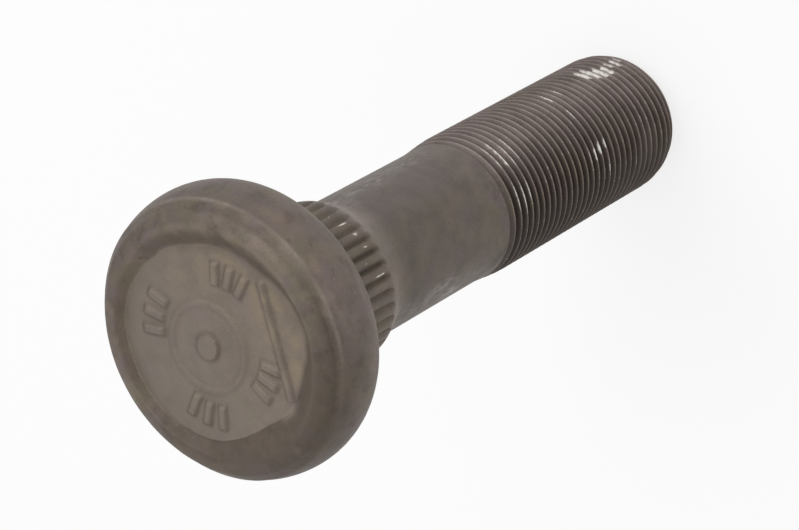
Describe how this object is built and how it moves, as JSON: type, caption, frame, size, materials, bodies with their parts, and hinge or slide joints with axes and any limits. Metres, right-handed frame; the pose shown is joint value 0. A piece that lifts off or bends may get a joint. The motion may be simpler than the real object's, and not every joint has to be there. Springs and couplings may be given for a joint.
{
  "type": "wheel stud",
  "caption": "Steel wheel stud: round head with a shallow recess, ribbed press-fit neck, plain waist and long fine metric thread with a rounded end.",
  "frame": {"origin": "centre of the thread's end face, the lowest point of the part", "axes": "+Z along the stud's axis from the thread's end to the head; the stud stands on its thread's end. -Y is the side that the picture shows."},
  "size_m": [0.0422, 0.042, 0.1038],
  "materials": {
    "steel": "dark phosphated steel, slightly oiled, with worn bright marks on the thread"
  },
  "bodies": {
    "root": {"stud": "steel"}
  },
  "joints": []
}
